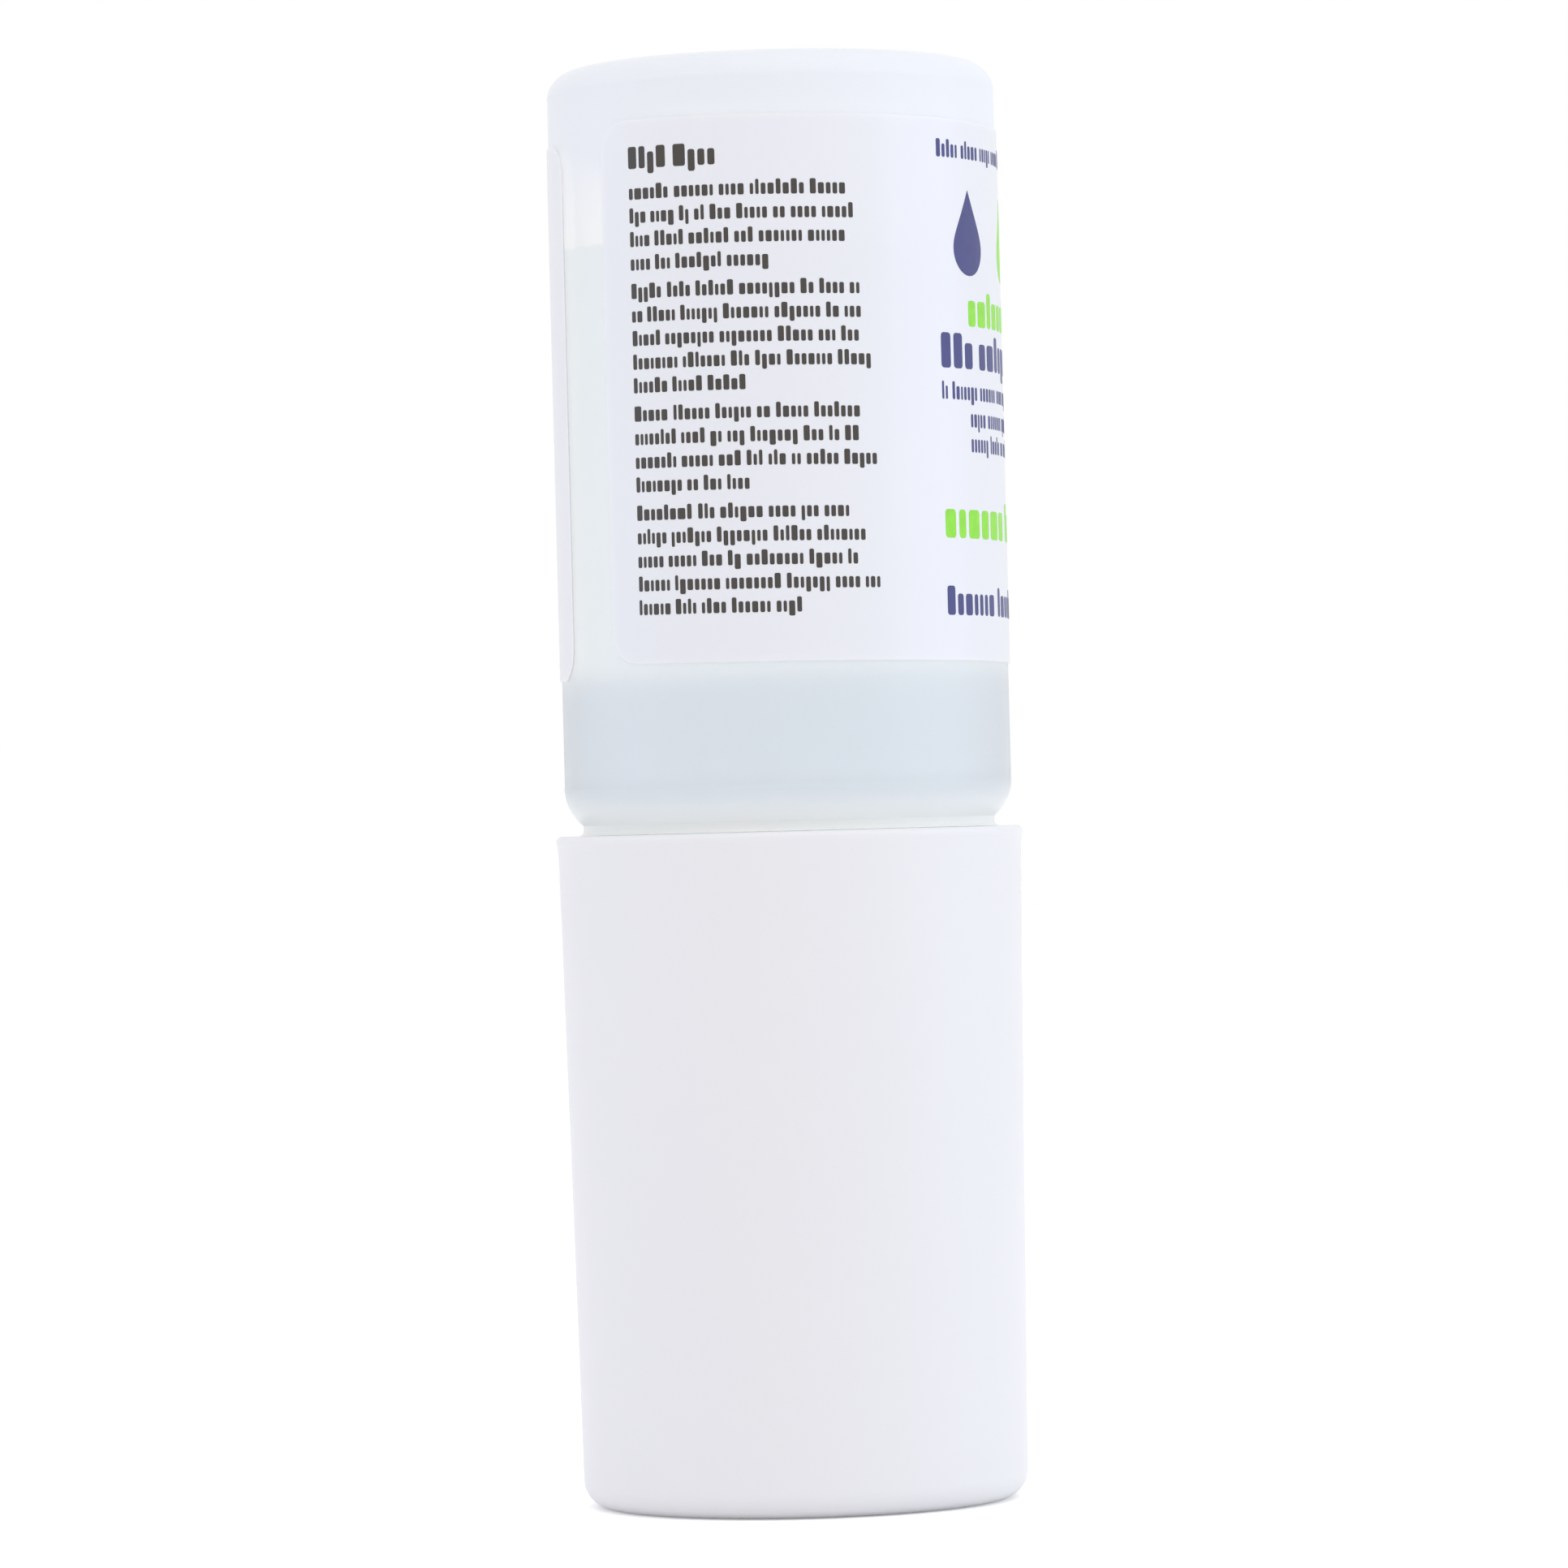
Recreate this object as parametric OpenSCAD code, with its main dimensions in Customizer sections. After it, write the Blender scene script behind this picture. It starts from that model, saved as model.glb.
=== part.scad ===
// Eye drop bottle that stands on its tall cap, with its base upwards.
// Millimetres. Z runs up the axis from the closed end of the cap, and the front of the label faces -Y.

/* [Bottle body] */
// Outside diameter of the body
body_d = 25.4; // [24:0.1:30]
// Height of the body, from the start of the shoulder to the base
body_h = 40.5; // [32:0.5:60]
// Wall thickness of the body and the shoulder
body_wall = 0.9; // [0.6:0.05:1.3]
// Radius of the shoulder's outer curve
shoulder_round = 2.9; // [2.2:0.1:4]
// Slope of the shoulder below its curve, in degrees
shoulder_slope = 15; // [8:1:25]
// Thickness of the base
base_t = 1.1; // [0.8:0.1:1.6]
// Radius of the outer edge of the base
base_round = 1.6; // [1.2:0.1:2.4]
// Width of the flat ring that the bottle stands on when upright
foot_w = 1.1; // [0.6:0.1:2]
// Depth of the hollow in the base
push_up = 1.3; // [0.6:0.1:1.8]
// Further rise of the base at its centre
base_crown = 0.5; // [0.2:0.1:1]

/* [Neck] */
// Outside diameter of the neck below its thread
neck_d = 12.9; // [12.5:0.1:13.2]
// Diameter over the thread, which runs inside the cap
thread_d = 14.7; // [14.2:0.1:15.2]
// Height of the neck from the shoulder to its mouth
neck_h = 14; // [13:0.5:15]
// Diameter of the bore of the neck
neck_bore_d = 10; // [9.4:0.1:10.4]
// Diameter of the ring round the root of the neck
neck_ring_d = 16.6; // [16:0.1:18]
// Height of that ring
neck_ring_h = 1; // [0.8:0.1:1.4]
// Distance from the shoulder's foot to the ring
neck_ring_up = 0.9; // [0.5:0.1:1.4]
// Radius of the hollow curve between the shoulder and the neck
neck_fillet = 0.45; // [0.3:0.05:0.5]

/* [Dropper tip] */
// Diameter of the flange that lies on the mouth of the neck
flange_d = 12.6; // [11.8:0.1:12.8]
// Thickness of the flange
flange_t = 1; // [0.8:0.1:1.4]
// Length of the plug inside the neck
plug_l = 8; // [6:0.5:9]
// Wall thickness of the plug
plug_wall = 1.1; // [0.8:0.1:1.3]
// How far the snap bead of the plug stands proud
snap_h = 0.2; // [0.1:0.05:0.3]
// Distance from the flange to the snap bead
snap_up = 4; // [3:0.5:5]
// Diameter of the nozzle at the flange
nozzle_base_d = 7.8; // [7.2:0.1:8.4]
// Diameter of the nozzle at its end
nozzle_tip_d = 4.6; // [4.2:0.1:5.2]
// Length of the nozzle
nozzle_l = 11; // [9:0.5:13]
// Radius of the nozzle's outer end
nozzle_round = 0.6; // [0.4:0.1:0.8]
// Diameter of the cup that shapes the drop
drop_cup_d = 2.6; // [2.2:0.1:2.8]
// Depth of the cup that shapes the drop
drop_cup_l = 2.2; // [1.6:0.1:3]
// Diameter of the fine hole that meters the drop
orifice_d = 0.7; // [0.4:0.1:1]
// Length of the fine hole
orifice_l = 1.2; // [0.8:0.1:2]

/* [Cap] */
// Height of the cap
cap_h = 38; // [37:0.5:50]
// How far the rim of the cap stands out past the body, on each side
cap_proud = 0.44; // [0.3:0.02:0.8]
// Draft of the cap's side, in degrees
cap_draft = 0.82; // [0.3:0.02:1.2]
// Wall thickness of the cap
cap_wall = 1.5; // [1.2:0.1:1.8]
// Thickness of the closed end
cap_end_t = 1.6; // [1.2:0.1:2.2]
// Radius of the edge of the closed end
cap_round = 1.5; // [1:0.1:2]
// How far the lip at the rim flares out
lip_flare = 0.09; // [0.04:0.01:0.2]
// Height of the flared lip
lip_h = 1.4; // [1:0.1:2]
// Radius of the rim's edges
rim_round = 0.3; // [0.2:0.05:0.4]
// Number of ribs inside the cap
rib_n = 12; // [8:1:16]
// Thickness of a rib
rib_t = 0.9; // [0.7:0.1:1.2]
// Height of the slanted lead-in at the top of a rib
rib_lead = 1.4; // [1:0.1:2]

/* [Inner cap] */
// Wall thickness of the threaded skirt
skirt_wall = 1.6; // [1.3:0.1:1.9]
// Thickness of the deck that presses on the dropper tip
deck_t = 1.3; // [1:0.1:1.6]
// Wall thickness of the well round the nozzle
well_wall = 1; // [0.8:0.1:1.2]
// Thickness of the floor of the well
well_floor_t = 1.2; // [1:0.1:1.5]
// Length of the sealing pin inside the cup of the nozzle
pin_l = 1.7; // [1:0.1:2]
// Height of the collar that stiffens the mouth of the skirt
collar_h = 1.6; // [1.2:0.1:2]
// How far the collar reaches out over the tops of the ribs
collar_out = 1.2; // [1:0.1:1.4]

/* [Label] */
// Thickness of the label
label_t = 0.08; // [0.05:0.01:0.15]
// Distance from the start of the shoulder to the label
label_up = 6.6; // [2:0.1:12]
// Distance from the label to the foot of the base
label_down = 3.7; // [2.6:0.1:10]
// Gap between the label's two ends, measured round the body
label_gap = 4.4; // [2:0.1:10]
// Direction of the middle of that gap, in degrees from the front towards the right
label_gap_at = -58; // [-90:1:-30]
// Radius of the label's corners
label_round = 1.8; // [1:0.1:3]

/* [Contents and fits] */
// Distance from the surface of the liquid up to the foot of the base
head_space = 10.3; // [6:0.5:20]
// Clearance between the rim of the cap and the shoulder
seat_gap = 0.45; // [0.3:0.05:0.8]
// Clearance between the dropper tip and the parts of the inner cap that seal it
seal_gap = 0.05; // [0.03:0.01:0.1]
// Clearance round the nozzle in its well
well_gap = 0.5; // [0.3:0.1:0.7]
// Clearance outside the thread
thread_gap = 0.15; // [0.1:0.05:0.3]
// Clearance between the ring of the neck and the inner cap
ring_gap = 0.4; // [0.3:0.1:0.8]
// Clearance between the liquid and what holds it
liquid_gap = 0.05; // [0.03:0.01:0.1]
// Thickness of the glue under the label
glue_t = 0.01; // [0.005:0.005:0.03]
// Clearance of the snap bead in its groove
snap_gap = 0.02; // [0.01:0.01:0.05]

/* [Hidden] */
$fn = 96;
arc_steps = 8;
sunk = 0.4;
eps = 0.01;

// Radii
body_r = body_d / 2;
body_in_r = body_r - body_wall;
neck_r = neck_d / 2;
neck_bore_r = neck_bore_d / 2;
neck_ring_r = neck_ring_d / 2;
flange_r = flange_d / 2;
plug_in_r = neck_bore_r - plug_wall;
nozzle_base_r = nozzle_base_d / 2;
nozzle_tip_r = nozzle_tip_d / 2;
drop_cup_r = drop_cup_d / 2;
orifice_r = orifice_d / 2;
cap_rim_r = body_r + cap_proud;
cap_mouth_r = cap_rim_r - cap_wall;
cap_end_r = cap_rim_r - cap_h * tan(cap_draft);
cap_end_in_r = cap_mouth_r - (cap_h - cap_end_t) * tan(cap_draft);
cap_in_round = cap_round - 0.5;
skirt_in_r = thread_d / 2 + thread_gap;
skirt_r = skirt_in_r + skirt_wall;
label_in_r = body_r + glue_t;
label_r = label_in_r + label_t;

// Heights, worked down from the rim of the cap to the inner cap, and up from it to the base
shoulder_in = shoulder_round - cap_wall + cap_proud;
shoulder_z = cap_h + sqrt(pow(shoulder_round + seat_gap, 2) - pow(shoulder_in, 2));
shoulder_turn = 90 - shoulder_slope;
shoulder_axis_r = body_r - shoulder_round;
shoulder_end_r = shoulder_axis_r + shoulder_round * cos(shoulder_turn);
shoulder_end_z = shoulder_z - shoulder_round * sin(shoulder_turn);
neck_root_z = shoulder_end_z - (shoulder_end_r - neck_r) * tan(shoulder_slope);
neck_end_z = neck_root_z - neck_h;
ring_top_z = neck_root_z - neck_ring_up;
ring_low_z = ring_top_z - neck_ring_h;
base_z = shoulder_z + body_h;
inner_turn_r = shoulder_round - body_wall;
inner_end_r = shoulder_axis_r + inner_turn_r * cos(shoulder_turn);
inner_end_z = shoulder_z - inner_turn_r * sin(shoulder_turn);
bore_top_z = inner_end_z - (inner_end_r - neck_bore_r) * tan(shoulder_slope);
flange_low_z = neck_end_z - flange_t;
nozzle_end_z = flange_low_z - nozzle_l;
plug_top_z = neck_end_z + plug_l;
snap_z = neck_end_z + snap_up;
orifice_low_z = nozzle_end_z + drop_cup_l;
orifice_top_z = orifice_low_z + orifice_l;
deck_z = flange_low_z - seal_gap;
well_floor_z = nozzle_end_z - seal_gap;
inner_cap_z = well_floor_z - well_floor_t;
skirt_mouth_z = ring_low_z - ring_gap;
rib_top_z = skirt_mouth_z - collar_h;
label_low_z = shoulder_z + label_up;
label_h = body_h - label_up - label_down;

// Base
foot_in_r = body_r - base_round - foot_w;
recess_r = foot_in_r - push_up;
base_in_round = max(base_round - body_wall, 0.4);

// Liquid
liquid_r = body_in_r - liquid_gap;
liquid_neck_r = neck_bore_r - liquid_gap;
liquid_plug_r = plug_in_r - liquid_gap;
liquid_low_z = neck_end_z + liquid_gap;
liquid_plug_top_z = plug_top_z + liquid_gap;
liquid_bore_z = bore_top_z + liquid_gap;
liquid_top_z = base_z - head_space;

// Radius of the inside of the cap's wall at height z
function cap_in_r(z) = cap_mouth_r - (cap_h - z) * tan(cap_draft);

// Points of a shallow dome, from radius r at height z in to the axis, where it is h lower
function dome(r, z, h) = [
    for (i = [0:arc_steps])
        let (t = i / arc_steps)
            [r * (1 - t), z - h * sin(90 * t)]
];

// Points of an arc about [r, z], from angle a to angle b
function arc(r, z, radius, a, b) = [
    for (i = [0:arc_steps])
        let (t = a + (b - a) * i / arc_steps)
            [r + radius * cos(t), z + radius * sin(t)]
];

// Outer wall of the cap, closed below and open above, with the lip at its rim
module cap_cup() {
    lip_r = cap_rim_r + lip_flare;
    rotate_extrude()
        polygon(concat(
            [[0, 0]],
            arc(cap_end_r - cap_round, cap_round, cap_round, -90, 0),
            [[cap_rim_r - lip_h * tan(cap_draft), cap_h - lip_h]],
            arc(lip_r - rim_round, cap_h - rim_round, rim_round, 0, 90),
            arc(cap_mouth_r + rim_round, cap_h - rim_round, rim_round, 90, 180),
            arc(cap_end_in_r - cap_in_round, cap_end_t + cap_in_round, cap_in_round, 0, -90),
            [[0, cap_end_t]]
        ));
}

// One rib along the inside of the cap, from the skirt of the inner cap out into the wall
module cap_rib() {
    low_z = cap_end_t - sunk;
    rotate([90, 0, 0])
        linear_extrude(height = rib_t, center = true)
            polygon([
                [skirt_r - sunk, low_z],
                [cap_in_r(low_z) + sunk, low_z],
                [cap_in_r(rib_top_z) + sunk, rib_top_z],
                [skirt_r + rib_lead / 2, rib_top_z],
                [skirt_r - sunk, rib_top_z - rib_lead]
            ]);
}

// Round post on the closed end that the inner cap stands on
module cap_post() {
    post_r = nozzle_tip_r + well_gap + well_wall;
    translate([0, 0, cap_end_t - sunk])
        difference() {
            cylinder(h = inner_cap_z - cap_end_t + sunk, r = post_r);
            translate([0, 0, sunk])
                cylinder(h = inner_cap_z, r = post_r - well_wall);
        }
}

module cap_shell() {
    color([0.91, 0.91, 0.93]) {
        difference() {
            union() {
                cap_cup();
                for (i = [0:rib_n - 1])
                    rotate([0, 0, (i + 0.5) * 360 / rib_n])
                        cap_rib();
            }
            translate([0, 0, cap_end_t])
                cylinder(h = cap_h, r = skirt_r);
        }
        cap_post();
    }
}

// Threaded cap inside the tall shell: a skirt, a deck, and a well that ends in the sealing pin
module inner_cap() {
    well_top_r = nozzle_base_r + well_gap;
    well_low_r = nozzle_tip_r + well_gap;
    collar_r = skirt_r + collar_out;
    pin_r = drop_cup_r - seal_gap;
    color([0.95, 0.95, 0.96])
        rotate_extrude()
            polygon([
                [0, inner_cap_z],
                [well_low_r + well_wall, inner_cap_z],
                [well_top_r + well_wall, deck_z - deck_t],
                [skirt_r, deck_z - deck_t],
                [skirt_r, skirt_mouth_z - collar_h],
                [collar_r, skirt_mouth_z - collar_h],
                [collar_r, skirt_mouth_z],
                [skirt_in_r, skirt_mouth_z],
                [skirt_in_r, deck_z],
                [well_top_r, deck_z],
                [well_low_r, well_floor_z],
                [pin_r, well_floor_z],
                [pin_r, well_floor_z + pin_l - pin_r / 2],
                [pin_r / 2, well_floor_z + pin_l],
                [0, well_floor_z + pin_l]
            ]);
}

// Outline of the snap bead, or of the groove that takes it, at radius r
module snap_outline(r, size) {
    polygon([
        [r - sunk, snap_z - size * 2],
        [r, snap_z - size * 2],
        [r + size, snap_z],
        [r, snap_z + size * 2],
        [r - sunk, snap_z + size * 2]
    ]);
}

// Outside of the bottle, from the mouth of the neck up to the hollow base
module bottle_outside() {
    fillet_turn = 90 - shoulder_slope;
    fillet_in = neck_fillet * tan(fillet_turn / 2);
    rotate_extrude()
        polygon(concat(
            [
                [0, neck_end_z],
                [neck_r, neck_end_z],
                [neck_r, ring_low_z],
                [neck_ring_r, ring_low_z],
                [neck_ring_r, ring_top_z - neck_ring_h / 2],
                [neck_r + neck_ring_h / 2, ring_top_z],
                [neck_r, ring_top_z]
            ],
            arc(neck_r + neck_fillet, neck_root_z - fillet_in, neck_fillet, 180, 180 - fillet_turn),
            arc(shoulder_axis_r, shoulder_z, shoulder_round, -shoulder_turn, 0),
            arc(body_r - base_round, base_z - base_round, base_round, 0, 90),
            [[foot_in_r, base_z]],
            dome(recess_r, base_z - push_up, base_crown)
        ));
}

// Hollow of the bottle, which keeps the wall even over the base
module bottle_inside() {
    rotate_extrude()
        polygon(concat(
            [
                [0, neck_end_z - eps],
                [neck_bore_r, neck_end_z - eps],
                [neck_bore_r, bore_top_z]
            ],
            arc(shoulder_axis_r, shoulder_z, inner_turn_r, -shoulder_turn, 0),
            arc(body_in_r - base_in_round, base_z - base_t - base_in_round, base_in_round, 0, 90),
            [[foot_in_r, base_z - base_t]],
            dome(recess_r, base_z - push_up - base_t, base_crown)
        ));
    rotate_extrude()
        snap_outline(neck_bore_r, snap_h + snap_gap);
}

module bottle() {
    color([0.86, 0.90, 0.95, 0.6])
        difference() {
            bottle_outside();
            bottle_inside();
        }
}

// Snap-in insert: a hollow plug, a flange and the nozzle that lets out one drop at a time
module dropper_tip() {
    lead = 0.5;
    color([0.93, 0.94, 0.96])
        difference() {
            union() {
                rotate_extrude()
                    polygon(concat(
                        [[0, plug_top_z], [0, nozzle_end_z]],
                        arc(nozzle_tip_r - nozzle_round, nozzle_end_z + nozzle_round, nozzle_round, -90, 0),
                        [
                            [nozzle_base_r, flange_low_z],
                            [flange_r, flange_low_z],
                            [flange_r, neck_end_z],
                            [neck_bore_r, neck_end_z],
                            [neck_bore_r, plug_top_z - lead],
                            [neck_bore_r - lead / 2, plug_top_z]
                        ]
                    ));
                rotate_extrude()
                    snap_outline(neck_bore_r, snap_h);
            }
            rotate_extrude()
                polygon([
                    [0, nozzle_end_z - eps],
                    [drop_cup_r, nozzle_end_z - eps],
                    [drop_cup_r, orifice_low_z - drop_cup_r / 2],
                    [orifice_r, orifice_low_z],
                    [orifice_r, orifice_top_z],
                    [plug_in_r, neck_end_z],
                    [plug_in_r, plug_top_z + eps],
                    [0, plug_top_z + eps]
                ]);
        }
}

// What rounds off one corner of the label, lying along +Y from the axis
module label_corner() {
    centre = label_round * 0.96;
    rotate([-90, 0, 0])
        difference() {
            translate([-1, -1, label_in_r / 2])
                cube([centre + 1, centre + 1, label_r]);
            translate([centre, centre, 0])
                cylinder(h = label_r * 2, r = label_round);
        }
}

// Label: one sheet wrapped almost all the way round, with rounded corners at its two ends
module label() {
    gap_half = label_gap / label_r * 90 / PI;
    middle = label_gap_at - 90;
    color([0.96, 0.96, 0.97])
        difference() {
            rotate([0, 0, middle + gap_half])
                rotate_extrude(angle = 360 - 2 * gap_half, $fn = 192)
                    translate([label_in_r, label_low_z])
                        square([label_t, label_h]);
            for (side = [-1, 1], top = [0, 1])
                translate([0, 0, label_low_z + top * label_h])
                    rotate([0, 0, middle - 90 + side * gap_half])
                        mirror([(1 + side) / 2, 0, 0])
                            mirror([0, 0, 1 - top])
                                label_corner();
        }
}

// Liquid, which has run down into the neck because the bottle stands on its cap
module liquid() {
    color([0.80, 0.87, 0.93, 0.5])
        rotate_extrude()
            polygon(concat(
                [
                    [0, liquid_low_z],
                    [liquid_plug_r, liquid_low_z],
                    [liquid_plug_r, liquid_plug_top_z],
                    [liquid_neck_r, liquid_plug_top_z],
                    [liquid_neck_r, liquid_bore_z]
                ],
                arc(shoulder_axis_r, shoulder_z, inner_turn_r - liquid_gap, -shoulder_turn, 0),
                [
                    [liquid_r, liquid_top_z],
                    [0, liquid_top_z]
                ]
            ));
}

cap_shell();
inner_cap();
bottle();
dropper_tip();
label();
liquid();
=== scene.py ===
"""Eye drop bottle standing on its tall cap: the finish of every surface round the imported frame.

Profiles and sizes are in millimetres, and the meshes in metres. Z is the axis of cap and bottle, and the
camera looks along +Y.
"""
import math
import random

import bmesh
import bpy
from mathutils import Matrix, Vector


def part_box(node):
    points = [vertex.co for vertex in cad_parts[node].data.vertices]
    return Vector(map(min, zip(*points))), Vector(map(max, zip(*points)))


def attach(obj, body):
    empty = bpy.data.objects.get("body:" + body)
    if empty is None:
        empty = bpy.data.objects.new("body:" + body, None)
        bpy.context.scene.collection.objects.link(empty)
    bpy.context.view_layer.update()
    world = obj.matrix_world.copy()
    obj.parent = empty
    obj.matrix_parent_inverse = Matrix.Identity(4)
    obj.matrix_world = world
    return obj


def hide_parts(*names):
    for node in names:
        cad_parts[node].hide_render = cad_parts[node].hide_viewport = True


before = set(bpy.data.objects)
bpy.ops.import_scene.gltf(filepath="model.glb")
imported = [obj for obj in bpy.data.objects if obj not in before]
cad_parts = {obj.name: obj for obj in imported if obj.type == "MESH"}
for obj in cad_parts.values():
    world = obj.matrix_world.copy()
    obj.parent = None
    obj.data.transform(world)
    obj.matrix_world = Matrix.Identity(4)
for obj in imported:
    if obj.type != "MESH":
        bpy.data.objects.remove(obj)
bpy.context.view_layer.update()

MM = 0.001


# Camera

# The photograph is 1932 pixels a side. These pixels and the distance were fitted to its outlines.
PHOTO_SIDE = 1932
FOCAL_PX = 9219
EYE_LEVEL_Y = 1023
AXIS_X = 971
CAMERA_DISTANCE = 0.425
CAMERA_HEIGHT = 0.03805
CAMERA_ROLL = math.radians(1.5)


def make_camera():
    """Camera less than half a metre away, rolled so that the object leans as it does in the photograph."""
    data = bpy.data.cameras.new("camera")
    data.sensor_fit = "HORIZONTAL"
    data.sensor_width = 36
    data.lens = data.sensor_width * FOCAL_PX / PHOTO_SIDE
    data.clip_start = 0.01
    camera = bpy.data.objects.new("camera", data)
    bpy.context.scene.collection.objects.link(camera)
    pitch = math.atan((EYE_LEVEL_Y - PHOTO_SIDE / 2) / FOCAL_PX)
    yaw = math.atan((AXIS_X - PHOTO_SIDE / 2) / FOCAL_PX)
    look = Matrix.Rotation(yaw, 4, "Z") @ Matrix.Rotation(math.pi / 2 + pitch, 4, "X")
    place = Matrix.Translation((0, -CAMERA_DISTANCE, CAMERA_HEIGHT))
    camera.matrix_world = place @ look @ Matrix.Rotation(-CAMERA_ROLL, 4, "Z")
    bpy.context.scene.camera = camera


make_camera()


# Sizes, first the heights and radii that the frame gives
CAP_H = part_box("cap_shell")[1].z / MM
BASE_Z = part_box("bottle")[1].z / MM
NECK_END_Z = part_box("bottle")[0].z / MM
NOZZLE_END_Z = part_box("dropper_tip")[0].z / MM
PLUG_TOP_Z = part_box("dropper_tip")[1].z / MM
INNER_CAP_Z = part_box("inner_cap")[0].z / MM
SKIRT_MOUTH_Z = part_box("inner_cap")[1].z / MM
LABEL_LOW_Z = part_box("label")[0].z / MM
LABEL_TOP_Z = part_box("label")[1].z / MM
LABEL_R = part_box("label")[1].x / MM
LIQUID_LOW_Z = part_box("liquid")[0].z / MM
LIQUID_TOP_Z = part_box("liquid")[1].z / MM

# Body of the bottle and its base, its faint seam, and the rows of faces over the shoulder
BODY_R = 12.7
BODY_WALL = 0.9
BODY_H = 40.5
SHOULDER_ROUND = 2.9
SHOULDER_SLOPE = 15
BASE_T = 1.1
BASE_ROUND = 1.6
FOOT_W = 1.1
FOOT_EASE = 0.3
PUSH_UP = 1.3
BASE_CROWN = 0.5
SEAM_AT = math.radians(18)
SEAM_H = 0.025
SEAM_W = 0.18
ROWS_UP = (1.5, 4)

# Land at which the shoulder meets the cap's rim, and the angle at which it leaves the shoulder's curve
LAND_ANGLE = 50
LAND_ROUND = 0.3
LAND_UP = 0.01

# Neck with its transfer ring
NECK_R = 6.45
NECK_H = 14
NECK_BORE_R = 5
NECK_RING_R = 8.3
NECK_RING_H = 1
NECK_RING_UP = 0.9
NECK_RING_EASE = 0.2
NECK_FILLET = 0.45
MOUTH_EASE = 0.15
MOUTH_ROUND = 0.25

# Thread. A ridge's half width and flank are shares of the pitch, and each end fades over a share of a turn.
# Its rows of faces keep clear of the mouths, the transfer ring and the deck of the inner cap.
THREAD_R = 7.35
THREAD_PITCH = 2.1
THREAD_TURNS = 2.5
THREAD_GAP = 0.15
THREAD_UP = 2.2
RIDGE_HALF = 0.31
RIDGE_FLANK = 0.15
THREAD_FADE = 0.15
THREAD_ROWS = 130
MOUTH_CLEAR = 0.5
RING_CLEAR = 0.2
DECK_CLEAR = 0.3

# Outer wall of the cap, its closed end and its rim. The straight side starts a little over the end's round.
CAP_PROUD = 0.44
CAP_DRAFT = math.radians(0.82)
CAP_WALL = 1.5
CAP_END_T = 1.6
CAP_ROUND = 1.5
CAP_IN_ROUND = 1
CAP_FOOT_W = 1.1
DISH_DEPTH = 0.12
DISH_SLOPE_W = 0.5
SIDE_UP = 1
SIDE_OUT = 0.02
LIP_FLARE = 0.09
LIP_H = 1.4
LIP_CURVE = 1.6
RIM_ROUND = 0.3

# Ribs inside the cap, and the inner cap that they hold
RIB_N = 12
RIB_T = 0.9
RIB_LEAD = 1.4
RIB_SUNK = 0.4
RIB_EASE = 0.08
SKIRT_WALL = 1.6
SKIRT_EASE = 0.4
DECK_T = 1.3
WELL_WALL = 1
WELL_GAP = 0.5
PIN_L = 1.7
COLLAR_H = 1.6
COLLAR_OUT = 1.2
COLLAR_ROUND = 0.3
SEAL_GAP = 0.05
TOUCH_GAP = 0.01

# Dropper tip. The root of its nozzle is given as points out from its base and up from the flange.
FLANGE_R = 6.3
FLANGE_T = 1
FLANGE_ROUND = 0.2
PLUG_WALL = 1.1
PLUG_FIT = 0.02
PLUG_LEAD = 0.5
SNAP_H = 0.2
SNAP_UP = 4
NOZZLE_BASE_R = 3.9
NOZZLE_TIP_R = 2.3
NOZZLE_ROUND = 0.6
NOZZLE_ROOT = ((-0.15, -0.5), (0.1, -0.1), (0.4, 0))
DROP_CUP_R = 1.3
DROP_CUP_L = 2.2
DROP_CUP_EASE = 0.15
ORIFICE_R = 0.35
ORIFICE_L = 1.2

# Liquid: how far it reaches into the walls that it wets, and the curved rim of its surface
WET_T = 0.02
LIQUID_RIM_W = 1.6
LIQUID_RIM_H = 0.35

# Label: its film, the gap between its ends with the middle of the gap in degrees from the camera's side, the
# round of its corners, how much lower its wrapped end lies, and the thickness of its ink
LABEL_T = 0.08
LABEL_GAP = 4.4
LABEL_GAP_AT = -58
LABEL_ROUND = 1.8
LABEL_SKEW = 0.85
INK_T = 0.012

# Sizes worked out from those above. The outer face of the body lies past OUTER_FACE_R, and the inner doesn't.
SHOULDER_Z = BASE_Z - BODY_H
NECK_ROOT_Z = NECK_END_Z + NECK_H
RING_TOP_Z = NECK_ROOT_Z - NECK_RING_UP
RING_LOW_Z = RING_TOP_Z - NECK_RING_H
BODY_IN_R = BODY_R - BODY_WALL
OUTER_FACE_R = BODY_R - BODY_WALL / 2
INNER_TURN_R = SHOULDER_ROUND - BODY_WALL
LAND_R = BODY_R - SHOULDER_ROUND + SHOULDER_ROUND * math.cos(math.radians(LAND_ANGLE))
LAND_Z = CAP_H + LAND_UP
FOOT_IN_R = BODY_R - BASE_ROUND - FOOT_W
SLOPE = math.tan(math.radians(SHOULDER_SLOPE))
CAP_RIM_R = BODY_R + CAP_PROUD
CAP_MOUTH_R = CAP_RIM_R - CAP_WALL
CAP_END_R = CAP_RIM_R - CAP_H * math.tan(CAP_DRAFT)
SKIRT_IN_R = THREAD_R + THREAD_GAP
SKIRT_R = SKIRT_IN_R + SKIRT_WALL
COLLAR_Z = SKIRT_MOUTH_Z - COLLAR_H
WELL_LOW_R = NOZZLE_TIP_R + WELL_GAP
WELL_TOP_R = NOZZLE_BASE_R + WELL_GAP
FLANGE_LOW_Z = NECK_END_Z - FLANGE_T
SNAP_Z = NECK_END_Z + SNAP_UP
PLUG_IN_R = NECK_BORE_R - PLUG_WALL
THREAD_LOW_Z = NECK_END_Z + THREAD_UP
THREADED_LOW_Z = NECK_END_Z + MOUTH_CLEAR
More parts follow.
